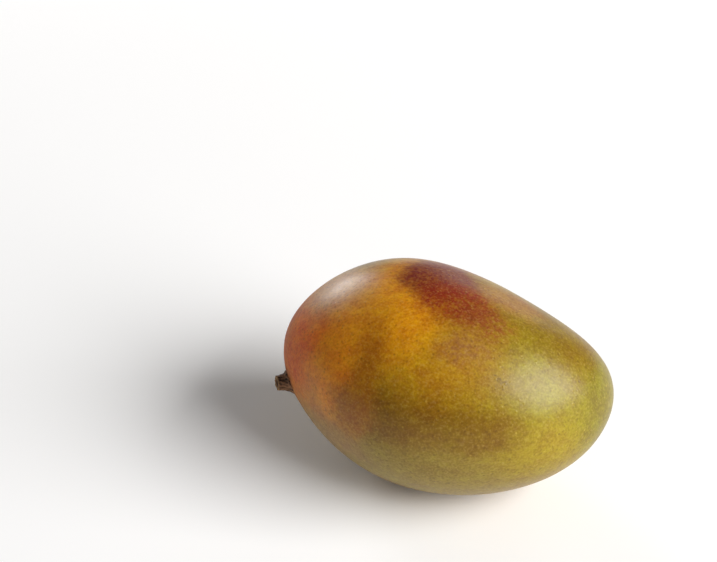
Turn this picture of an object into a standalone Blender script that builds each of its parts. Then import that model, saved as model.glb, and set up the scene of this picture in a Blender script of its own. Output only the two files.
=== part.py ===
"""A ripe mango with its woody stem stub, lying on one cheek as it was picked.

The fruit is one solid: a unit sphere stretched along X, made wider and fatter towards the stem end,
curved along its length, and cut flat where it rests. The stub stands in a blind socket of the fruit.
Metres, +Z up. +X runs along the fruit from the stem end to the tip, and the origin is the middle of
the bounding box, on the surface that the fruit lies on.
"""

import math

import bmesh
import bpy
from mathutils import Matrix, Vector

MM = 0.001

# Driving dimensions of the fruit.
HALF_LENGTH = 62.5 * MM
HALF_WIDTH = 43.1 * MM
HALF_THICKNESS = 39.6 * MM

# Each is the share of the half width or half thickness that x, x squared and x cubed add to it, where
# x runs from -1 at the stem end to 1 at the tip.
WIDTH_TERMS = (-0.174, -0.066, 0.219)
THICKNESS_TERMS = (-0.070, -0.050, 0.060)
CURVE = 0.105  # how far both ends bend to the belly side, in half widths
SHOULDER = 0.160  # how far the stem half swells to the belly side and the tip half to the back

# How the fruit lies: the tip hangs a little, and the back is turned a little towards the floor.
TIP_DROP = math.radians(3.5)
SIDE_ROLL = math.radians(10.0)
FLAT_DEPTH = 0.6 * MM  # how much the resting spot is flattened

# The stub leaves the skin off the end of the fruit, on its back side and a little low.
STEM_POLAR = math.radians(26.0)
STEM_AROUND = math.radians(202.0)
BOSS_HEIGHT = 0.4 * MM  # how far the flesh swells up around the stub
BOSS_RADIUS = 8.0 * MM

STUB_ROOT_RADIUS = 3.9 * MM
STUB_TIP_RADIUS = 2.5 * MM
STUB_PROUD = 5.8 * MM  # from the skin to the broken end, along the stub
STUB_SUNK = 3.2 * MM  # from the skin down to the stub's root
STUB_FLARE = 1.15  # a straight taper would be 1
STUB_PIT = 0.5 * MM  # the dried pith has sunk this far
STUB_PIT_FLOOR, STUB_PIT_EDGE, STUB_RIM = 0.45, 0.65, 0.88  # radii on the end, as shares of the tip's
STUB_ROUND = 0.5 * MM  # how far the edges of the stub are rounded over
GAP = 0.3 * MM  # between the stub and its socket

RINGS = 42
SEGMENTS = 64
STUB_RINGS = 6
STUB_STEPS = 28
FLOOR_CUTTER_SIZE = 0.2


def clear_scene():
    for scene_object in list(bpy.data.objects):
        bpy.data.objects.remove(scene_object)


def new_collection(name, hidden=False):
    collection = bpy.data.collections.new(name)
    collection.hide_render = hidden
    bpy.context.scene.collection.children.link(collection)
    return collection


def new_material(name, colour, roughness):
    material = bpy.data.materials.new(name)
    material.use_nodes = True
    shader = material.node_tree.nodes["Principled BSDF"]
    shader.inputs["Base Color"].default_value = (*colour, 1.0)
    shader.inputs["Roughness"].default_value = roughness
    shader.inputs["Metallic"].default_value = 0.0
    return material


def swelling(x, terms):
    """How much wider or thinner than the plain ellipsoid the fruit is at x."""
    return 1.0 + sum(term * x ** (power + 1) for power, term in enumerate(terms))


def smooth_skin(direction):
    """The point of the fruit that a direction of the unit sphere stands for, without the boss."""
    x, y, z = direction
    side = CURVE * (x * x - 1.0) + SHOULDER * (x**3 - x)
    return Vector((
        HALF_LENGTH * x,
        HALF_WIDTH * (y * swelling(x, WIDTH_TERMS) + side),
        HALF_THICKNESS * z * swelling(x, THICKNESS_TERMS),
    ))


def stem_direction():
    """The unit sphere's direction at which the stub leaves the fruit."""
    ring = math.sin(STEM_POLAR)
    return Vector((
        -math.cos(STEM_POLAR),
        ring * math.cos(STEM_AROUND),
        ring * math.sin(STEM_AROUND),
    ))


def outward(direction):
    """The smooth skin's outward normal, from two short steps across it."""
    sideways = 0.001 * direction.orthogonal().normalized()
    across = direction.cross(sideways)
    first = smooth_skin(direction + sideways) - smooth_skin(direction - sideways)
    second = smooth_skin(direction + across) - smooth_skin(direction - across)
    return first.cross(second).normalized()


def skin(direction):
    """The fruit's surface, with the low boss that the stub stands on."""
    point = smooth_skin(direction)
    distance = (point - smooth_skin(stem_direction())).length
    return point + BOSS_HEIGHT * math.exp(-((distance / BOSS_RADIUS) ** 2)) * outward(direction)


def stub_axis():
    """The stub leans out: it points halfway between the fruit's length and the skin's normal."""
    return (outward(stem_direction()) + Vector((-1.0, 0.0, 0.0))).normalized()


def add_mesh_object(name, body, collection, parent=None):
    """A smooth-shaded object from a bmesh, which is freed."""
    mesh = bpy.data.meshes.new(name)
    body.to_mesh(mesh)
    body.free()
    mesh.shade_smooth()
    made = bpy.data.objects.new(name, mesh)
    made.parent = parent
    collection.objects.link(made)
    return made


def add_cutter(target, cutter, name):
    """Takes the cutter's shape out of the target, and keeps the cutter out of renders."""
    cutter.hide_render = True
    cutter.display_type = "WIRE"
    cut = target.modifiers.new(name, "BOOLEAN")
    cut.operation = "DIFFERENCE"
    cut.solver = "EXACT"
    cut.object = cutter


def make_fruit(collection, pose):
    body = bmesh.new()
    bmesh.ops.create_uvsphere(body, u_segments=SEGMENTS, v_segments=RINGS, radius=1.0)
    lay_along_x = Matrix.Rotation(math.radians(90.0), 3, "Y")
    for vertex in body.verts:
        vertex.co = skin((lay_along_x @ vertex.co).normalized())
    fruit = add_mesh_object("fruit", body, collection, pose)
    fruit.data.materials.append(new_material("mango_skin", (0.42, 0.25, 0.03), 0.38))
    return fruit


def stub_profile():
    """The stub's half outline from the broken end's middle, over its rim and down to its root."""
    length = STUB_SUNK + STUB_PROUD
    bark = []
    for step in range(STUB_RINGS + 1):
        share = step / STUB_RINGS
        radius = STUB_TIP_RADIUS + (STUB_ROOT_RADIUS - STUB_TIP_RADIUS) * share**STUB_FLARE
        bark.append((radius, length - STUB_ROUND - (STUB_PROUD - STUB_ROUND) * share))
    return [
        (0.0, length - STUB_PIT),
        (STUB_PIT_FLOOR * STUB_TIP_RADIUS, length - STUB_PIT),
        (STUB_PIT_EDGE * STUB_TIP_RADIUS, length - 0.2 * STUB_PIT),
        (STUB_RIM * STUB_TIP_RADIUS, length),
        *bark,
        (STUB_ROOT_RADIUS, STUB_ROUND),
        (STUB_ROOT_RADIUS - STUB_ROUND, 0.0),
        (0.0, 0.0),
    ]


def add_turned(name, profile, collection, parent):
    """A solid of revolution about its own Z, from (radius, height) points that start at the top."""
    outline = bmesh.new()
    corners = [outline.verts.new((radius, 0.0, height)) for radius, height in profile]
    for first, second in zip(corners, corners[1:]):
        outline.edges.new((first, second))
    turned = add_mesh_object(name, outline, collection, parent)
    screw = turned.modifiers.new("turn", "SCREW")
    screw.axis = "Z"
    screw.angle = math.tau
    screw.steps = STUB_STEPS
    screw.render_steps = STUB_STEPS
    screw.use_merge_vertices = True
    screw.merge_threshold = 0.00001
    screw.use_smooth_shade = True
    return turned


def stand_on_skin(scene_object, height):
    """Puts an object's origin on the stub's axis, this far above the skin, with its Z along the axis."""
    scene_object.location = skin(stem_direction()) + height * stub_axis()
    scene_object.rotation_euler = stub_axis().to_track_quat("Z", "Y").to_euler()


def make_stub(collection, pose):
    stub = add_turned("stem_stub", stub_profile(), collection, pose)
    stand_on_skin(stub, -STUB_SUNK)
    stub.data.materials.append(new_material("stem_bark", (0.12, 0.07, 0.03), 0.85))
    return stub


def make_socket_cutter(collection, pose):
    """A plain cylinder around the stub's root, open past the skin."""
    length = STUB_SUNK + STUB_PROUD
    body = bmesh.new()
    bmesh.ops.create_cone(
        body,
        cap_ends=True,
        segments=STUB_STEPS,
        radius1=STUB_ROOT_RADIUS + GAP,
        radius2=STUB_ROOT_RADIUS + GAP,
        depth=length,
        matrix=Matrix.Translation((0.0, 0.0, length / 2)),
    )
    cutter = add_mesh_object("socket_cutter", body, collection, pose)
    stand_on_skin(cutter, -STUB_SUNK - GAP)
    return cutter


def make_floor_cutter(collection):
    """A block whose top is the surface that the fruit rests on."""
    body = bmesh.new()
    bmesh.ops.create_cube(
        body,
        size=FLOOR_CUTTER_SIZE,
        matrix=Matrix.Translation((0.0, 0.0, -FLOOR_CUTTER_SIZE / 2)),
    )
    return add_mesh_object("floor_cutter", body, collection)


def world_box(parts):
    """Lowest and highest corners of the parts as the viewport evaluates them."""
    bpy.context.view_layer.update()
    graph = bpy.context.evaluated_depsgraph_get()
    points = []
    for part in parts:
        evaluated = part.evaluated_get(graph)
        mesh = evaluated.to_mesh()
        points += [evaluated.matrix_world @ vertex.co for vertex in mesh.vertices]
        evaluated.to_mesh_clear()
    low = Vector([min(point[axis] for point in points) for axis in range(3)])
    high = Vector([max(point[axis] for point in points) for axis in range(3)])
    return low, high


def main():
    clear_scene()
    parts = new_collection("mango")
    cutters = new_collection("cutters", hidden=True)

    pose = bpy.data.objects.new("resting_pose", None)
    pose.rotation_euler = (SIDE_ROLL, TIP_DROP, 0.0)
    parts.objects.link(pose)

    fruit = make_fruit(parts, pose)
    pose.location.z = -world_box([fruit])[0].z - FLAT_DEPTH
    stub = make_stub(parts, pose)
    add_cutter(fruit, make_socket_cutter(cutters, pose), "stem socket")
    add_cutter(fruit, make_floor_cutter(cutters), "resting spot")

    low, high = world_box([fruit, stub])
    pose.location.x = -(low.x + high.x) / 2
    pose.location.y = -(low.y + high.y) / 2


main()
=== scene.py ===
"""The looks of a ripe mango that lies on one cheek: its waxy skin, corky stem stub and pale studio.

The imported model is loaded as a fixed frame. The skin and the stub are modelled finely over the same
form as its two solids, and stand for them. Everything is in metres, in the frame's own axes: +X runs
from the stem end to the tip, +Z is up, and the fruit lies on the floor at z = 0.
"""

from __future__ import annotations

import logging
import math
from dataclasses import dataclass, field
from enum import Enum
from typing import Any

import bmesh
import bpy
import numpy as np
from mathutils import Matrix, Vector, noise

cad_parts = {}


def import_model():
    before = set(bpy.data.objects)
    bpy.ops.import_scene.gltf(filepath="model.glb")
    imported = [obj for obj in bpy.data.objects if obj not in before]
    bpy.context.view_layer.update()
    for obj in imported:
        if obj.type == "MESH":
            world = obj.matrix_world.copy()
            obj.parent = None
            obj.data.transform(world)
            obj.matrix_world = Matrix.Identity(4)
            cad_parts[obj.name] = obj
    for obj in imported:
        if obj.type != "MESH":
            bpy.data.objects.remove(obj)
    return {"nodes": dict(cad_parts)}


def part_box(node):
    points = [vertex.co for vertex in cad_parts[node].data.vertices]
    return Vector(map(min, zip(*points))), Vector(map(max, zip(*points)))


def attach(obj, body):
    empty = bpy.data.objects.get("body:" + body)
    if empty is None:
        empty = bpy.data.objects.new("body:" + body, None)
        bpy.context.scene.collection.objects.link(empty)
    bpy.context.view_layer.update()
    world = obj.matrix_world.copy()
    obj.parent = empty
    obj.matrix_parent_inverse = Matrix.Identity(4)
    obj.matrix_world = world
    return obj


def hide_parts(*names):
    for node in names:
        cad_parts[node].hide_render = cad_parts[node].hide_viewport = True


MM = 0.001
BODY = "root"

# Sockets of the Mix node when it mixes colours.
MIX_FACTOR, MIX_A, MIX_B, MIX_RESULT = 0, 6, 7, 2

log = logging.getLogger("mango")


class Slot(Enum):
    """Names of the record's two material slots; nothing in this script uses them."""

    SKIN = "mango_skin"
    BARK = "stem_bark"


def linear(hex_colour: str) -> tuple[float, float, float, float]:
    """Turns an sRGB colour into the linear one that shaders and lights take.

    Args:
        hex_colour: six hex digits after a hash, such as "#c08020".

    Returns:
        Linear red, green, blue and an alpha of 1.
    """
    channels = [int(hex_colour[start : start + 2], 16) / 255 for start in (1, 3, 5)]
    red, green, blue = (
        c / 12.92 if c <= 0.04045 else ((c + 0.055) / 1.055) ** 2.4 for c in channels
    )
    return (red, green, blue, 1.0)


def add_node(
    tree: bpy.types.NodeTree, kind: str, inputs: dict[str | int, Any] | None = None, **settings: Any
) -> bpy.types.Node:
    """Adds a node, sets it up and links it.

    Args:
        tree: the tree that the node goes into.
        kind: the node's type, such as "ShaderNodeMath".
        inputs: for each input, by name or number, a value or the output socket that feeds it.
        settings: the node's own properties, such as operation="MULTIPLY".

    Returns:
        The node.
    """
    node = tree.nodes.new(kind)
    for name, value in settings.items():
        setattr(node, name, value)
    for key, value in (inputs or {}).items():
        if isinstance(value, bpy.types.NodeSocket):
            tree.links.new(value, node.inputs[key])
        else:
            node.inputs[key].default_value = value
    return node


def new_material(name: str) -> tuple[bpy.types.Material, bpy.types.NodeTree, bpy.types.Node]:
    """Makes a material with a bare Principled shader.

    Args:
        name: the material's name.

    Returns:
        The material, its node tree and its Principled shader.
    """
    material = bpy.data.materials.new(name)
    material.use_nodes = True
    tree = material.node_tree
    return material, tree, tree.nodes["Principled BSDF"]


def smoothstep(low: float, high: float, values: np.ndarray) -> np.ndarray:
    """Rises smoothly from 0 at low to 1 at high.

    Args:
        low: where the rise starts.
        high: where it ends. It may be less than low, and then the step falls.
        values: the numbers to look up.

    Returns:
        The heights of the step, from 0 to 1.
    """
    share = np.clip((values - low) / (high - low), 0.0, 1.0)
    return share * share * (3.0 - 2.0 * share)


def noise_at(points: np.ndarray, feature: float, seed: float) -> np.ndarray:
    """Smooth noise over points in space.

    Args:
        points: one point a row, in metres.
        feature: the size of a bump, in metres.
        seed: shifts the pattern, so that two seeds give unlike ones.

    Returns:
        One value a point, mostly from -1 to 1.
    """
    shifted = points / feature + seed
    return np.array([noise.noise(point) for point in shifted.tolist()])


def piece_from_mesh(name: str, mesh: bpy.types.Mesh) -> bpy.types.Object:
    """Puts a smooth-shaded mesh in the scene.

    Args:
        name: the piece's name.
        mesh: its mesh.

    Returns:
        The piece.
    """
    mesh.shade_smooth()
    piece = bpy.data.objects.new(name, mesh)
    bpy.context.scene.collection.objects.link(piece)
    return piece


@dataclass(frozen=True)
class FruitForm:
    """The fruit's form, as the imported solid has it.

    A unit sphere is stretched along X. Its width and thickness vary with x, from -1 at the stem end to
    1 at the tip, and its centre line curves sideways. Then it is tilted as the fruit lies.
    """

    half_length: float = 62.5 * MM
    half_width: float = 43.1 * MM
    half_thickness: float = 39.6 * MM
    width_terms: tuple[float, float, float] = (-0.174, -0.066, 0.219)
    thickness_terms: tuple[float, float, float] = (-0.070, -0.050, 0.060)
    curve: float = 0.105
    shoulder: float = 0.160
    tip_drop: float = math.radians(3.5)
    side_roll: float = math.radians(10.0)
    stem_polar: float = math.radians(26.0)
    stem_around: float = math.radians(202.0)

    def tilt(self) -> np.ndarray:
        """The rotation from the fruit's own axes to the frame's."""
        turn = Matrix.Rotation(self.tip_drop, 3, "Y") @ Matrix.Rotation(self.side_roll, 3, "X")
        return np.array(turn)

    def stem_direction(self) -> np.ndarray:
        """The unit sphere's direction at which the stub leaves the fruit."""
        ring = math.sin(self.stem_polar)
        return np.array((
            -math.cos(self.stem_polar),
            ring * math.cos(self.stem_around),
            ring * math.sin(self.stem_around),
        ))

    def surface(self, directions: np.ndarray) -> np.ndarray:
        """Where directions of the unit sphere lie on the fruit, tilted but not yet placed.

        Args:
            directions: one unit vector a row.

        Returns:
            One point a row, in metres.
        """
        x, y, z = directions.T
        wide = 1.0 + sum(term * x ** (n + 1) for n, term in enumerate(self.width_terms))
        thick = 1.0 + sum(term * x ** (n + 1) for n, term in enumerate(self.thickness_terms))
        side = self.curve * (x**2 - 1.0) + self.shoulder * (x**3 - x)
        own = np.stack(
            (
                self.half_length * x,
                self.half_width * (y * wide + side),
                self.half_thickness * z * thick,
            ),
            axis=1,
        )
        return own @ self.tilt().T

    def outward(self, directions: np.ndarray) -> np.ndarray:
        """The surface's unit normals at directions of the unit sphere.

        Args:
            directions: one unit vector a row.

        Returns:
            One unit vector a row.
        """
        step = 0.001
        helper = np.where(np.abs(directions[:, :1]) < 0.7, (1.0, 0.0, 0.0), (0.0, 1.0, 0.0))
        sideways = np.cross(directions, helper)
        sideways *= step / np.linalg.norm(sideways, axis=1, keepdims=True)
        across = np.cross(directions, sideways)
        first = self.surface(directions + sideways) - self.surface(directions - sideways)
        second = self.surface(directions + across) - self.surface(directions - across)
        normals = np.cross(first, second)
        return normals / np.linalg.norm(normals, axis=1, keepdims=True)


@dataclass(frozen=True)
class Patch:
    """A soft-edged stretch of skin with a colour of its own, mostly where it ripened; a few stand for
    painted sheen, painted reflection and painted shade.

    Attributes:
        colour: its sRGB hex colour.
        centre: its middle, in millimetres in the frame's axes.
        reach: how far it reaches along X, Y and Z, in millimetres.
        edge: how soft its edge is, as a share of its reach.
        strength: how much of the colour under it the patch covers.
        broken: how much of that strength the patch loses in grains, where the rind shows through.
    """

    colour: str
    centre: tuple[float, float, float]
    reach: tuple[float, float, float]
    edge: float = 0.4
    strength: float = 1.0
    broken: float = 0.0


@dataclass(frozen=True)
class Clouds:
    """Uneven ripening, which lightens and reddens the skin in soft clouds.

    Attributes:
        size: a cloud's size across the fruit, in millimetres.
        stretch: how many times longer it is along the fruit.
        contrast: how much lighter and darker than the rest it gets.
        hue: how far its hue turns, as a share of the colour wheel.
        span: the noise's values at which a cloud is darkest and lightest.
    """

    size: float
    stretch: float
    contrast: float
    hue: float
    span: tuple[float, float] = (0.3, 0.7)


@dataclass(frozen=True)
class Dots:
    """Small round dots, scattered over the skin.

    Attributes:
        colour: their sRGB hex colour.
        spacing: the usual distance between two, in millimetres.
        radius: a dot's radius, in millimetres.
        missing: the share of the places that holds no dot.
        strength: how much of the colour under it a dot covers.
        rim: where a dot starts to fade and where it ends, in radii.
    """

    colour: str
    spacing: float
    radius: float
    missing: float
    strength: float
    rim: tuple[float, float] = (0.4, 1.3)


@dataclass(frozen=True)
class WaxedMangoSkin:
    """Mango rind, grown: coloured skin under a thin natural wax.

    The wax gives a soft-edged, satin gloss, duller where a bloom lies on it at the stem end. The colour
    under it isn't even: zones run into each other through fine mottling, and pale lenticels, the
    rind's breathing pores, lie all over it.
    """

    ground: str = "#8f6e06"
    patches: tuple[Patch, ...] = (
        # Olive: the tip half, its far shoulder, the tip, the underside, and yellower low by the tip.
        Patch("#88780c", (50, -16, 54), (28, 28, 30), 0.6),
        Patch("#7c6006", (46, 8, 62), (28, 20, 16), 0.5),
        Patch("#776a08", (62, -4, 46), (9, 20, 24), 0.5),
        Patch("#8d7526", (10, -44, 26), (64, 20, 18), 0.5),
        Patch("#967e16", (43, -33, 38), (16, 14, 13), 0.6),
        # A dark band of olive brown across the back, and ochre above it.
        Patch("#785200", (-10, -41, 53), (25, 15, 12), 0.5),
        Patch("#7b5a04", (22, -40, 48), (17, 12, 9), 0.5),
        Patch("#a87606", (-2, -25, 70), (22, 16, 16), 0.6, 0.9),
        # The ripe orange stem end, tan below the stub, partly painted floor reflection low on the stem
        # end, and the dark band's start.
        Patch("#de840c", (-44, -20, 55), (25, 32, 31), 0.35),
        Patch("#c87e24", (-47, -27, 39), (10, 12, 10), 0.5),
        # Partly painted reflection: pale tan where the floor's reflection lies low on the stem end.
        Patch("#94703a", (-34, -37, 33), (15, 11, 9), 0.6, 0.85),
        Patch("#9a6012", (-26, -38, 48), (9, 9, 9), 0.6, 0.95),
        # Painted reflection: the underside's edge made paler tan to stand for the floor mirrored there.
        Patch("#8f7444", (-48, -24, 22), (20, 18, 13), 0.5, 0.85),
        # The most golden zone, with a brown streak.
        Patch("#d08604", (-16, -5, 76), (17, 28, 17), 0.5),
        Patch("#945a00", (-21, -30, 63), (5, 16, 15), 0.9, 0.7),
        # Red orange around the stub, darkened at the stem end's rim as painted shade, brightest above
        # it, and a pale pinkish shoulder behind that is partly a painted sheen.
        # Partly painted shade: the stem end's own red orange, darker at its rim to stand for shade and
        # a dark reflection there.
        Patch("#b85800", (-61, -8, 54), (13, 26, 26), 0.5),
        Patch("#f07400", (-49, -9, 61), (9, 13, 9), 0.6, 0.85),
        Patch("#d66000", (-50, -17, 50), (8, 12, 10), 0.6, 0.7),
        # Partly painted sheen: the shoulder's tint lightened to pale pinkish beige where a soft
        # reflection lies.
        Patch("#cc965c", (-42, 3, 70), (15, 13, 12), 0.6, 0.85),
        # Orange tan behind the blush, then the blush itself: wide on the belly side, and from there
        # over to the top, where it is deepest, partly as painted shade, and out to a weak end with a
        # mauve-brown smudge.
        Patch("#96621c", (22, 8, 73), (13, 8, 8), 0.5, 0.7),
        Patch("#8a2c0c", (-6, 46, 44), (46, 24, 34), 0.35, 1.0, 0.3),
        Patch("#8a2c0c", (2, 36, 62), (16, 16, 17), 0.5, 0.9, 0.4),
        # Partly painted shade: the blush at the top made darker than its own colour, where shade from
        # above falls.
        Patch("#6e1600", (-5, 11, 80), (15, 17, 11), 0.3, 1.0, 0.15),
        Patch("#842c08", (5, -4, 78), (14, 10, 10), 0.4, 1.0, 0.3),
        Patch("#84421a", (17, -10, 75), (10, 6, 8), 0.6, 0.9, 0.5),
        Patch("#8c5a30", (12, -22, 71), (8, 6, 6), 0.8, 0.85, 0.5),
        # A healed scratch, and dull skin around the stub.
        Patch("#5c4205", (25, -27, 64), (2.6, 0.8, 1.0), 0.5, 0.6),
        Patch("#6b3d1c", (-55, -11, 34.5), (7.0, 6.5, 6.5), 0.3, 0.6),
    )
    # The patches' edges wander: the size of each bend, and how far it shifts them, in millimetres.
    edge_bends: tuple[tuple[float, float], ...] = ((16.0, 6.0), (3.6, 5.0), (1.2, 3.2))
    clouds: tuple[Clouds, ...] = (Clouds(6.0, 1.6, 0.08, 0.008), Clouds(1.9, 1.4, 0.12, 0.006))
    # The rind's own cells, about 0.05 mm, are too fine to show, so both kinds of grain are coarser.
    blush_grain: float = 1.5  # millimetres
    blush_span: tuple[float, float] = (0.4, 0.6)  # of the noise, from broken to whole blush
    rind_grain: float = 0.85
    pale_grain: str = "#d2b870"
    pale_strength: float = 0.15
    dark_grain: str = "#3c2804"
    dark_strength: float = 0.28
    pores: Dots = Dots("#cfae4c", 2.4, 0.45, 0.35, 0.24)
    specks: Dots = Dots("#4c3004", 1.7, 0.5, 0.3, 0.38)
    ior: float = 1.38  # a little under a plant wax's, because the film is thin and broken
    roughness: tuple[float, float] = (0.28, 0.42)  # satin wax, where it is smoothest and roughest
    bloom_roughness: float = 0.26  # how much rougher the bloom makes the stem end
    bloom_start: float = -38.0  # millimetres along X
    bloom_full: float = -58.0
    peel_size: float = 2.2  # of the skin's low unevenness, in millimetres
    pore_share: float = 0.6  # of a pore's height in the relief, against the unevenness
    relief_height: float = 0.12 * MM
    relief_strength: float = 0.5

    def material(self) -> bpy.types.Material:
        """Builds the material.

        Returns:
            The skin material, for a piece whose object coordinates are the frame's.
        """
        material, tree, shader = new_material("waxed mango rind, grown")
        place = add_node(tree, "ShaderNodeTexCoord").outputs["Object"]
        in_mm = add_node(
            tree, "ShaderNodeVectorMath", {0: place, 3: 1.0 / MM}, operation="SCALE"
        ).outputs[0]

        colour = self._zones(tree, in_mm)
        colour = self._mottle(tree, in_mm, colour)
        pores, pore_rise = self._dots(tree, in_mm, self.pores)
        specks, _ = self._dots(tree, in_mm, self.specks)
        colour = self._tint(tree, colour, pores, self.pores.colour, self.pores.strength)
        colour = self._tint(tree, colour, specks, self.specks.colour, self.specks.strength)
        tree.links.new(colour, shader.inputs["Base Color"])

        peel = add_node(
            tree,
            "ShaderNodeTexNoise",
            {"Vector": in_mm, "Scale": 1.0 / self.peel_size, "Detail": 3.0, "Roughness": 0.55},
        ).outputs["Fac"]
        smoothest, roughest = self.roughness
        rough = add_node(
            tree, "ShaderNodeMapRange", {"Value": peel, "To Min": smoothest, "To Max": roughest}
        ).outputs["Result"]
        along = add_node(tree, "ShaderNodeSeparateXYZ", {0: in_mm}).outputs["X"]
        bloom = add_node(
            tree,
            "ShaderNodeMapRange",
            {
                "Value": along,
                "From Min": self.bloom_start,
                "From Max": self.bloom_full,
                "To Max": self.bloom_roughness,
            },
            interpolation_type="SMOOTHSTEP",
        ).outputs["Result"]
        rough = add_node(tree, "ShaderNodeMath", {0: rough, 1: bloom}, operation="ADD").outputs[0]
        tree.links.new(rough, shader.inputs["Roughness"])
        shader.inputs["IOR"].default_value = self.ior

        relief = add_node(
            tree,
            "ShaderNodeMath",
            {0: pore_rise, 1: self.pore_share, 2: peel},
            operation="MULTIPLY_ADD",
        ).outputs[0]
        bump = add_node(
            tree,
            "ShaderNodeBump",
            {"Height": relief, "Strength": self.relief_strength, "Distance": self.relief_height},
        ).outputs[0]
        tree.links.new(bump, shader.inputs["Normal"])
        return material

    def _zones(self, tree: bpy.types.NodeTree, in_mm: bpy.types.NodeSocket) -> bpy.types.NodeSocket:
        """Lays the patches over the ground colour.

        Args:
            tree: the material's tree.
            in_mm: the place on the skin, in millimetres.

        Returns:
            The colour.
        """
        warped = in_mm
        for size, shift in self.edge_bends:
            wander = add_node(
                tree, "ShaderNodeTexNoise", {"Vector": in_mm, "Scale": 1.0 / size, "Detail": 2.0}
            ).outputs["Color"]
            centred = add_node(
                tree, "ShaderNodeVectorMath", {0: wander, 1: (0.5, 0.5, 0.5)}, operation="SUBTRACT"
            ).outputs[0]
            warped = add_node(
                tree,
                "ShaderNodeVectorMath",
                {0: centred, 1: (shift, shift, shift), 2: warped},
                operation="MULTIPLY_ADD",
            ).outputs[0]
        grains = self._grains(tree, in_mm, self.blush_grain)
        colour = add_node(tree, "ShaderNodeRGB").outputs[0]
        colour.default_value = linear(self.ground)
        broken, whole = self.blush_span
        for patch in self.patches:
            scaled = add_node(
                tree,
                "ShaderNodeMapping",
                {
                    "Vector": warped,
                    "Location": [-c / r for c, r in zip(patch.centre, patch.reach)],
                    "Scale": [1.0 / r for r in patch.reach],
                },
            ).outputs[0]
            distance = add_node(
                tree, "ShaderNodeVectorMath", {0: scaled}, operation="LENGTH"
            ).outputs["Value"]
            cover = add_node(
                tree,
                "ShaderNodeMapRange",
                {
                    "Value": distance,
                    "From Min": 1.0 - patch.edge,
                    "From Max": 1.0 + patch.edge,
                    "To Min": patch.strength,
                    "To Max": 0.0,
                },
                interpolation_type="SMOOTHSTEP",
            ).outputs["Result"]
            if patch.broken:
                kept = add_node(
                    tree,
                    "ShaderNodeMapRange",
                    {
                        "Value": grains,
                        "From Min": broken,
                        "From Max": whole,
                        "To Min": 1.0 - patch.broken,
                    },
                ).outputs["Result"]
                cover = add_node(
                    tree, "ShaderNodeMath", {0: cover, 1: kept}, operation="MULTIPLY"
                ).outputs[0]
            colour = self._tint(tree, colour, cover, patch.colour, 1.0)
        return colour

    def _mottle(
        self, tree: bpy.types.NodeTree, in_mm: bpy.types.NodeSocket, colour: bpy.types.NodeSocket
    ) -> bpy.types.NodeSocket:
        """Breaks the colour up, more along the fruit than across it.

        Args:
            tree: the material's tree.
            in_mm: the place on the skin, in millimetres.
            colour: the colour to break up.

        Returns:
            The mottled colour.
        """
        for clouds in self.clouds:
            stretched = add_node(
                tree, "ShaderNodeMapping", {"Vector": in_mm, "Scale": (1.0 / clouds.stretch, 1.0, 1.0)}
            ).outputs[0]
            drift = add_node(
                tree,
                "ShaderNodeTexNoise",
                {"Vector": stretched, "Scale": 1.0 / clouds.size, "Detail": 3.0, "Roughness": 0.6},
            ).outputs["Fac"]
            lighter, redder = (
                add_node(
                    tree,
                    "ShaderNodeMapRange",
                    {
                        "Value": drift,
                        "From Min": clouds.span[0],
                        "From Max": clouds.span[1],
                        "To Min": neutral - change,
                        "To Max": neutral + change,
                    },
                ).outputs["Result"]
                for neutral, change in ((1.0, clouds.contrast), (0.5, clouds.hue))
            )
            colour = add_node(
                tree, "ShaderNodeHueSaturation", {"Color": colour, "Value": lighter, "Hue": redder}
            ).outputs[0]
        grains = self._grains(tree, in_mm, self.rind_grain)
        for full, grain_colour, strength in (
            (0.75, self.pale_grain, self.pale_strength),
            (0.25, self.dark_grain, self.dark_strength),
        ):
            cover = add_node(
                tree, "ShaderNodeMapRange", {"Value": grains, "From Min": 0.5, "From Max": full}
            ).outputs["Result"]
            colour = self._tint(tree, colour, cover, grain_colour, strength)
        return colour

    def _grains(
        self, tree: bpy.types.NodeTree, in_mm: bpy.types.NodeSocket, size: float
    ) -> bpy.types.NodeSocket:
        """Fine, even noise.

        Args:
            tree: the material's tree.
            in_mm: the place on the skin, in millimetres.
            size: the size of a grain, in millimetres.

        Returns:
            The noise, around 0.5.
        """
        return add_node(
            tree, "ShaderNodeTexNoise", {"Vector": in_mm, "Scale": 1.0 / size, "Detail": 2.0}
        ).outputs["Fac"]

    def _dots(
        self, tree: bpy.types.NodeTree, in_mm: bpy.types.NodeSocket, dots: Dots
    ) -> tuple[bpy.types.NodeSocket, bpy.types.NodeSocket]:
        """Scatters dots over the skin.

        Args:
            tree: the material's tree.
            in_mm: the place on the skin, in millimetres.
            dots: their size and spacing.

        Returns:
            How much a dot covers the place, and how high the place rises in it.
        """
        cells = add_node(
            tree, "ShaderNodeTexVoronoi", {"Vector": in_mm, "Scale": 1.0 / dots.spacing}
        )
        inside = add_node(
            tree,
            "ShaderNodeMapRange",
            {
                "Value": cells.outputs["Distance"],
                "From Min": dots.rim[0] * dots.radius / dots.spacing,
                "From Max": dots.rim[1] * dots.radius / dots.spacing,
                "To Min": 1.0,
                "To Max": 0.0,
            },
            interpolation_type="SMOOTHSTEP",
        ).outputs["Result"]
        lot = add_node(tree, "ShaderNodeSeparateColor", {"Color": cells.outputs["Color"]})
        weight = add_node(
            tree,
            "ShaderNodeMapRange",
            {"Value": lot.outputs["Red"], "From Min": dots.missing, "From Max": 1.0},
        ).outputs["Result"]
        cover = add_node(
            tree, "ShaderNodeMath", {0: inside, 1: weight}, operation="MULTIPLY"
        ).outputs[0]
        return cover, inside

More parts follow.
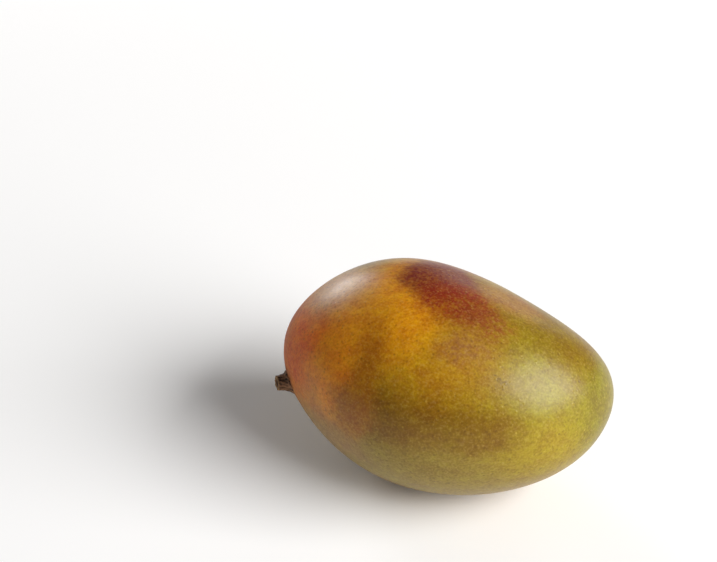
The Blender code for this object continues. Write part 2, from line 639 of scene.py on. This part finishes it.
    def _tint(
        self,
        tree: bpy.types.NodeTree,
        under: bpy.types.NodeSocket,
        cover: bpy.types.NodeSocket,
        hex_colour: str,
        strength: float,
    ) -> bpy.types.NodeSocket:
        """Lays a colour over another where it covers.

        Args:
            tree: the material's tree.
            under: the colour below.
            cover: from 0 to 1, how much is covered.
            hex_colour: the sRGB colour on top.
            strength: how much of the colour below a full cover hides.

        Returns:
            The mixed colour.
        """
        factor = cover
        if strength < 1.0:
            factor = add_node(
                tree, "ShaderNodeMath", {0: cover, 1: strength}, operation="MULTIPLY"
            ).outputs[0]
        return add_node(
            tree,
            "ShaderNodeMix",
            {MIX_FACTOR: factor, MIX_A: under, MIX_B: linear(hex_colour)},
            data_type="RGBA",
        ).outputs[MIX_RESULT]


@dataclass(frozen=True)
class CorkyBark:
    """Stem wood, grown, dried and broken off.

    Its thin bark is furrowed along the stem and has no gloss at all, so it stays dark beside the skin.
    The broken end shows a paler cork ring around a dark, sunken pith.
    """

    furrow: str = "#27170e"
    ridge: str = "#90684a"
    cork: str = "#8d7048"
    hollow: str = "#1c0e07"
    furrow_spacing: float = 0.9  # millimetres
    furrow_share: float = 0.22  # a furrow's width as a share of its length
    furrow_span: tuple[float, float] = (0.38, 0.64)  # of the fibres' noise, from furrow to ridge
    cork_span: tuple[float, float] = (0.3, 0.6)
    cork_depth: tuple[float, float] = (0.7 * MM, 0.15 * MM)  # below the break, from none to full
    hollow_span: tuple[float, float] = (1.5, 0.9)  # in radii of the pith
    roughness: float = 0.85
    specular_level: float = 0.3  # dry, porous bark mirrors less than solid wood
    relief_height: float = 0.3 * MM
    relief_strength: float = 0.8

    def material(self, break_point: Vector, break_normal: Vector, pith: float) -> bpy.types.Material:
        """Builds the material.

        Args:
            break_point: the middle of the broken end, in metres.
            break_normal: the unit vector that the broken end faces along.
            pith: the pith's radius, in metres.

        Returns:
            The bark, for a piece whose object coordinates are the frame's.
        """
        material, tree, shader = new_material("stem bark and cork, dried and broken")
        place = add_node(tree, "ShaderNodeTexCoord").outputs["Object"]
        offset = add_node(
            tree, "ShaderNodeVectorMath", {0: place, 1: break_point}, operation="SUBTRACT"
        ).outputs[0]
        level = add_node(
            tree, "ShaderNodeVectorMath", {0: offset, 1: break_normal}, operation="DOT_PRODUCT"
        ).outputs["Value"]
        radius = add_node(
            tree, "ShaderNodeVectorMath", {0: offset}, operation="LENGTH"
        ).outputs["Value"]
        in_mm = add_node(
            tree, "ShaderNodeVectorMath", {0: place, 3: 1.0 / MM}, operation="SCALE"
        ).outputs[0]
        along = add_node(
            tree, "ShaderNodeMapping", {"Vector": in_mm, "Scale": (self.furrow_share, 1.0, 1.0)}
        ).outputs[0]
        fibres = add_node(
            tree,
            "ShaderNodeTexNoise",
            {"Vector": along, "Scale": 1.0 / self.furrow_spacing, "Detail": 4.0},
        ).outputs["Fac"]
        furrow, ridge = linear(self.furrow), linear(self.ridge)
        colour = self._blend(tree, fibres, self.furrow_span, furrow, ridge)
        cork = self._blend(tree, fibres, self.cork_span, ridge, linear(self.cork))
        start, full = self.cork_depth
        colour = self._blend(tree, level, (-start, -full), colour, cork)
        outer, inner = self.hollow_span
        hollow = linear(self.hollow)
        colour = self._blend(tree, radius, (outer * pith, inner * pith), colour, hollow)
        tree.links.new(colour, shader.inputs["Base Color"])
        shader.inputs["Roughness"].default_value = self.roughness
        shader.inputs["Specular IOR Level"].default_value = self.specular_level
        bump = add_node(
            tree,
            "ShaderNodeBump",
            {"Height": fibres, "Strength": self.relief_strength, "Distance": self.relief_height},
        ).outputs[0]
        tree.links.new(bump, shader.inputs["Normal"])
        return material

    def _blend(
        self,
        tree: bpy.types.NodeTree,
        value: bpy.types.NodeSocket,
        span: tuple[float, float],
        first: Any,
        second: Any,
    ) -> bpy.types.NodeSocket:
        """Turns one colour into another over a span of a value.

        Args:
            tree: the material's tree.
            value: the value to follow.
            span: where the blend starts and where it ends.
            first: the colour at the start.
            second: the colour at the end.

        Returns:
            The colour.
        """
        share = add_node(
            tree, "ShaderNodeMapRange", {"Value": value, "From Min": span[0], "From Max": span[1]}
        ).outputs["Result"]
        return add_node(
            tree,
            "ShaderNodeMix",
            {MIX_FACTOR: share, MIX_A: first, MIX_B: second},
            data_type="RGBA",
        ).outputs[MIX_RESULT]


@dataclass
class Fruit:
    """The fruit: one piece of skin, with the stub's seat, its creases and the flat resting spot."""

    form: FruitForm = field(default_factory=FruitForm)
    finish: WaxedMangoSkin = field(default_factory=WaxedMangoSkin)
    rings: int = 290
    segments: int = 320
    ring_crowding: float = 1.35  # over 1, the rings lie closer around the stub
    inset: float = 0.06 * MM  # keeps the fine skin inside the faceted solid's box
    boss_height: float = 0.4 * MM
    boss_radius: float = 8.0 * MM
    seat_radius: float = 3.0 * MM
    seat_edge: float = 0.5 * MM
    seat_depth: float = 0.5 * MM
    dent_size: float = 20.0 * MM
    dent_depth: float = 0.22 * MM
    dent_seed: float = 3.7
    ripple_size: float = 6.0 * MM
    ripple_depth: float = 0.05 * MM
    ripple_seed: float = 9.1
    crease_depth: float = 0.28 * MM
    crease_count: int = 11
    crease_start: float = 12.0 * MM  # from the stub's axis, where the creases fade in
    crease_full: float = 4.5 * MM
    crease_bend: float = 5.0 * MM  # the size of a crease's bends
    crease_swing: float = 1.6  # how far they turn it about the stub, in radians of half a crease
    crease_seed: float = 21.0
    crease_sharpness: int = 5
    stem_half: float = 20.0 * MM  # below the seat, where the stub's boss and creases end

    def place(self) -> np.ndarray:
        """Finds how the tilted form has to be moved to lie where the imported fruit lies.

        Returns:
            The move, in metres.
        """
        low, high = (np.array(corner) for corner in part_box("fruit"))
        points = self.form.surface(self._directions())
        middle = (points.min(axis=0) + points.max(axis=0)) / 2
        shift = (low + high) / 2 - middle
        shift[2] = high[2] - points[:, 2].max()
        return shift

    def seat(self) -> tuple[np.ndarray, np.ndarray, np.ndarray]:
        """Finds where and how the stub stands.

        Returns:
            Its place on the skin, the unit vector that it points along, and the skin's normal there.
        """
        stem = self.form.stem_direction()[None]
        normal = self.form.outward(stem)[0]
        point = self.form.surface(stem)[0] + self.boss_height * normal + self.place()
        fruit_axis = self.form.tilt() @ np.array((-1.0, 0.0, 0.0))
        axis = normal + fruit_axis
        return point, axis / np.linalg.norm(axis), normal

    def build(self) -> bpy.types.Object:
        """Makes the skin.

        Returns:
            The piece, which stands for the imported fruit.
        """
        directions = self._ring_directions()
        points = self.form.surface(directions) + self.place()
        points += self._relief(points)[:, None] * self.form.outward(directions)
        points[:, 2] = np.maximum(points[:, 2], 0.0)
        mesh = bpy.data.meshes.new("mango_fruit")
        mesh.from_pydata(points.tolist(), [], self._ring_faces())
        piece = piece_from_mesh("mango_fruit", mesh)
        piece.data.materials.append(self.finish.material())
        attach(piece, BODY)
        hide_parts("fruit")
        return piece

    def _directions(self) -> np.ndarray:
        """An even, coarse set of the unit sphere's directions, enough to measure the form."""
        polar, around = np.meshgrid(np.linspace(0.0, math.pi, 361), np.linspace(0.0, math.tau, 721))
        return np.stack(
            (np.cos(polar), np.sin(polar) * np.cos(around), np.sin(polar) * np.sin(around)), axis=2
        ).reshape(-1, 3)

    def _ring_directions(self) -> np.ndarray:
        """Lays rings of directions around the stub, closer together near it.

        Returns:
            The unit sphere's directions, one a vertex: the stub's, each ring's and the opposite one.
        """
        polar = math.pi * (np.arange(1, self.rings) / self.rings) ** self.ring_crowding
        around = math.tau * np.arange(self.segments) / self.segments
        stem = self.form.stem_direction()
        first = np.cross(stem, (0.0, 0.0, 1.0))
        first /= np.linalg.norm(first)
        second = np.cross(stem, first)
        sideways = np.cos(around)[:, None] * first + np.sin(around)[:, None] * second
        rings = np.cos(polar)[:, None, None] * stem + np.sin(polar)[:, None, None] * sideways
        return np.concatenate((stem[None], rings.reshape(-1, 3), -stem[None]))

    def _ring_faces(self) -> list[tuple[int, ...]]:
        """Joins the rings' vertices.

        Returns:
            Each face's vertices, in order about its outward side.
        """
        first_ring, last_ring = 1, 1 + (self.rings - 2) * self.segments
        opposite = last_ring + self.segments
        faces: list[tuple[int, ...]] = []
        for n in range(self.segments):
            after = (n + 1) % self.segments
            faces.append((0, first_ring + n, first_ring + after))
            for ring in range(first_ring, last_ring, self.segments):
                below = ring + self.segments
                faces.append((ring + n, below + n, below + after, ring + after))
            faces.append((last_ring + n, opposite, last_ring + after))
        return faces

    def _relief(self, points: np.ndarray) -> np.ndarray:
        """How far each point of the skin stands out from the smooth form.

        Args:
            points: the smooth form's points, in the frame.

        Returns:
            One height a point, in metres.
        """
        seat, axis, _ = self.seat()
        offset = points - seat
        radial = offset - (offset @ axis)[:, None] * axis
        radius = np.linalg.norm(radial, axis=1)
        radius[offset @ axis < -self.stem_half] = math.inf
        side = np.cross(axis, (0.0, 0.0, 1.0))
        angle = np.arctan2(radial @ np.cross(axis, side), radial @ side)

        height = self.boss_height * np.exp(-((radius / self.boss_radius) ** 2))
        height -= self.inset
        dents = noise_at(points, self.dent_size, self.dent_seed)
        ripples = noise_at(points, self.ripple_size, self.ripple_seed)
        height -= self.dent_depth * (0.5 + 0.5 * dents)
        height -= self.ripple_depth * (0.5 + 0.5 * ripples)

        bend = self.crease_swing * noise_at(points, self.crease_bend, self.crease_seed)
        away = np.abs(np.sin(0.5 * self.crease_count * angle + bend))
        near_stub = smoothstep(self.crease_start, self.crease_full, radius)
        height -= self.crease_depth * (1.0 - away) ** self.crease_sharpness * near_stub
        seat_rim = self.seat_radius + self.seat_edge
        height -= self.seat_depth * smoothstep(seat_rim, self.seat_radius, radius)
        return height


@dataclass
class StemStub:
    """The woody stub: a ribbed stump with a skirt at its root and a slanting, corky broken end."""

    finish: CorkyBark = field(default_factory=CorkyBark)
    skirt_radius: float = 4.5 * MM
    skirt_height: float = 1.0 * MM
    waist_radius: float = 3.0 * MM
    tip_radius: float = 2.75 * MM
    proud: float = 5.7 * MM
    sunk: float = 0.9 * MM
    slant: float = math.radians(20.0)
    slant_around: float = math.radians(-62.0)  # 0 faces up, and -90 faces the fruit's back side
    pith_radius: float = 1.15 * MM
    pith_depth: float = 1.5 * MM
    rim_round: float = 0.35 * MM
    skin_radius: float = 33.0 * MM  # of the fruit's stem end, which the skirt lies on
    ribs: int = 7
    rib_height: float = 0.18 * MM
    rib_root: float = 0.4  # a rib's height at the root, as a share of its height at the tip
    rib_swing: float = 2.0  # how far the knots turn the ribs, in radians of one rib
    knot_size: float = 2.2 * MM  # of the unevenness along the stub
    knot_turns: float = 1.7  # the same around it
    knot_share: float = 0.09  # how much it swells the stub
    splinter_size: float = 0.55 * MM
    splinter_height: float = 0.25 * MM
    segments: int = 144
    bark_rings: int = 56
    end_rings: int = 26
    end_middle: float = 0.05 * MM  # the radius of the last face of the broken end

    def build(self, seat: np.ndarray, axis: np.ndarray, normal: np.ndarray) -> bpy.types.Object:
        """Makes the stub.

        Args:
            seat: where its axis meets the skin.
            axis: the unit vector that it points along.
            normal: the skin's outward normal there.

        Returns:
            The piece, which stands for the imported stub.
        """
        along = Vector(axis)
        up = (Vector((0.0, 0.0, 1.0)) - along.z * along).normalized()
        turn = Matrix((up, along.cross(up), along)).transposed()
        lean = turn.transposed() @ Vector(normal)
        body = bmesh.new()
        rows = []
        for radius, height in self._outline():
            angles = [math.tau * n / self.segments for n in range(self.segments)]
            points = [self._wall_point(radius, height, around, lean) for around in angles]
            rows.append([body.verts.new(Vector(seat) + turn @ point) for point in points])
        for row, following in zip(rows, rows[1:]):
            for n in range(self.segments):
                after = (n + 1) % self.segments
                body.faces.new((row[n], row[after], following[after], following[n]))
        body.faces.new(list(reversed(rows[0])))
        body.faces.new(rows[-1])
        mesh = bpy.data.meshes.new("mango_stem_stub")
        body.to_mesh(mesh)
        body.free()
        piece = piece_from_mesh("mango_stem_stub", mesh)
        middle = Vector((0.0, 0.0, self.proud - math.tan(self.slant) * self.tip_radius))
        facing = Vector((
            math.sin(self.slant) * math.cos(self.slant_around),
            math.sin(self.slant) * math.sin(self.slant_around),
            math.cos(self.slant),
        ))
        finish = self.finish.material(Vector(seat) + turn @ middle, turn @ facing, self.pith_radius)
        piece.data.materials.append(finish)
        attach(piece, BODY)
        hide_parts("stem_stub")
        return piece

    def _outline(self) -> list[tuple[float, float]]:
        """Draws the stub's half outline: up the bark, over the rim and down into the pith.

        Returns:
            Each point's distance from the axis and height above the skin.
        """
        outline = []
        for step in range(self.bark_rings + 1):
            share = step / self.bark_rings
            height = -self.sunk + (self.proud + self.sunk) * share
            skirt = math.exp(-max(height, 0.0) / self.skirt_height)
            radius = self.waist_radius + (self.skirt_radius - self.waist_radius) * skirt
            radius += (self.tip_radius - self.waist_radius) * share**2
            inward = max(height - self.proud + self.rim_round, 0.0) / self.rim_round
            radius -= self.rim_round * (1.0 - math.sqrt(max(1.0 - inward**2, 0.0)))
            outline.append((radius, height))
        rim = outline[-1][0]
        for step in range(1, self.end_rings + 1):
            radius = rim * (1.0 - step / self.end_rings) + self.end_middle
            bowl = math.exp(-((radius / self.pith_radius) ** 2))
            outline.append((radius, self.proud - self.pith_depth * bowl))
        return outline

    def _wall_point(self, radius: float, height: float, around: float, lean: Vector) -> Vector:
        """A point of the stub, with its ribs, its slant and its splinters.

        Args:
            radius: the even distance from the axis.
            height: the even height above the skin.
            around: the angle about the axis, from straight up.
            lean: the skin's normal in the stub's own axes. The root follows the skin.

        Returns:
            The point in the stub's own axes, with X up and Z along it.
        """
        share = min(max(height / self.proud, 0.0), 1.0)
        above = share * share * (3.0 - 2.0 * share)
        turn = self.knot_turns
        knots = Vector((math.cos(around) * turn, math.sin(around) * turn, height / self.knot_size))
        rib = math.cos(self.ribs * around + self.rib_swing * noise.noise(knots))
        grown = self.rib_root + (1.0 - self.rib_root) * above
        radius *= 1.0 + grown * self.rib_height / self.skirt_radius * rib
        radius *= 1.0 + self.knot_share * noise.noise(knots * 2.0)
        x, y = radius * math.cos(around), radius * math.sin(around)
        forward = x * math.cos(self.slant_around) + y * math.sin(self.slant_around)
        fall = math.tan(self.slant) * (self.tip_radius + forward) * above
        splinter = noise.noise(Vector((x, y, 0.0)) / self.splinter_size) - 0.5
        skin = -(lean.x * x + lean.y * y) / lean.z - (x * x + y * y) / (2.0 * self.skin_radius)
        rise = self.splinter_height * splinter * above + skin * (1.0 - above)
        return Vector((x, y, height - fall + rise))


@dataclass(frozen=True)
class Softbox:
    """A soft rectangular studio light with a white front.

    Attributes:
        name: the light's name.
        azimuth: where it stands, in degrees about Z from +X towards +Y.
        elevation: how high it stands, in degrees.
        distance: from the fruit, in metres.
        size: its width and height, in metres.
        power: in watts.
        aim_height: how high above the floor it points, in metres.
    """

    name: str
    azimuth: float
    elevation: float
    distance: float
    size: tuple[float, float]
    power: float
    aim_height: float = 0.04

    def build(self) -> bpy.types.Object:
        """Puts the light in the scene, facing the fruit.

        Returns:
            The light.
        """
        lamp = bpy.data.lights.new(self.name, "AREA")
        lamp.shape = "RECTANGLE"
        lamp.size, lamp.size_y = self.size
        lamp.energy = self.power
        light = bpy.data.objects.new(self.name, lamp)
        level, rise = math.radians(self.azimuth), math.radians(self.elevation)
        towards = Vector((
            math.cos(level) * math.cos(rise), math.sin(level) * math.cos(rise), math.sin(rise)
        ))
        light.location = self.distance * towards + Vector((0.0, 0.0, self.aim_height))
        light.rotation_euler = towards.to_track_quat("Z", "Y").to_euler()
        bpy.context.scene.collection.objects.link(light)
        return light


@dataclass
class Studio:
    """A pale floor, soft light and the camera."""

    floor_size: float = 12.0
    floor_gap: float = 0.05 * MM  # keeps the floor off the flat resting spot
    floor_colour: str = "#fcfbfa"
    floor_roughness: float = 0.9
    floor_specular_level: float = 0.1
    room_colour: str = "#626262"
    softboxes: tuple[Softbox, ...] = (
        Softbox("key_softbox", -10.0, 32.0, 3.2, (2.76, 2.18), 186.0),
        Softbox("rear_softbox", 134.0, 14.5, 1.4, (0.52, 0.42), 6.2),
        Softbox("back_softbox", 82.0, 16.0, 1.4, (0.7, 0.4), 1.6),
    )
    camera_azimuth: float = 15.38  # degrees, from behind -Y towards +X
    camera_elevation: float = 35.0
    camera_distance: float = 0.75
    camera_aim: tuple[float, float, float] = (-61.8 * MM, 105.9 * MM, 0.0)
    lens: float = 85.4
    sensor: float = 36.0

    def build(self) -> None:
        """Makes the floor, the surroundings, the lights and the camera."""
        self._floor()
        self._surroundings()
        for softbox in self.softboxes:
            softbox.build()
        self._camera()
        bpy.context.scene.view_settings.view_transform = "Standard"

    def _floor(self) -> None:
        """Lays a plain sheet of pale, matt paper just under the fruit."""
        body = bmesh.new()
        bmesh.ops.create_grid(body, x_segments=1, y_segments=1, size=self.floor_size / 2)
        mesh = bpy.data.meshes.new("floor")
        body.to_mesh(mesh)
        body.free()
        floor = piece_from_mesh("floor", mesh)
        floor.location.z = -self.floor_gap
        material, _, shader = new_material("white paper, matt")
        shader.inputs["Base Color"].default_value = linear(self.floor_colour)
        shader.inputs["Roughness"].default_value = self.floor_roughness
        shader.inputs["Specular IOR Level"].default_value = self.floor_specular_level
        mesh.materials.append(material)

    def _surroundings(self) -> None:
        """Surrounds everything with a dim, even room."""
        world = bpy.data.worlds.new("studio")
        world.use_nodes = True
        world.node_tree.nodes["Background"].inputs["Color"].default_value = linear(self.room_colour)
        bpy.context.scene.world = world

    def _camera(self) -> None:
        """Sets up a long lens that looks down on the fruit from its back side."""
        lens = bpy.data.cameras.new("camera")
        lens.lens = self.lens
        lens.sensor_width = self.sensor
        camera = bpy.data.objects.new("camera", lens)
        level, rise = math.radians(self.camera_azimuth), math.radians(self.camera_elevation)
        back = Vector((
            math.sin(level) * math.cos(rise), -math.cos(level) * math.cos(rise), math.sin(rise)
        ))
        camera.location = Vector(self.camera_aim) + self.camera_distance * back
        camera.rotation_euler = back.to_track_quat("Z", "Y").to_euler()
        bpy.context.scene.collection.objects.link(camera)
        bpy.context.scene.camera = camera


def main() -> None:
    """Builds the pieces and the studio in order."""
    logging.basicConfig(level=logging.INFO, format="%(name)s: %(message)s")
    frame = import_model()
    log.info("packed model: nodes %s", ", ".join(sorted(frame["nodes"])))
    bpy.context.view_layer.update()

    fruit = Fruit()
    skin = fruit.build()
    log.info("%s: %d faces", skin.name, len(skin.data.polygons))
    stub = StemStub().build(*fruit.seat())
    log.info("%s: %d faces", stub.name, len(stub.data.polygons))
    Studio().build()
    log.info("studio: %d lights", len(bpy.data.lights))


if __name__ == "__main__":
    main()
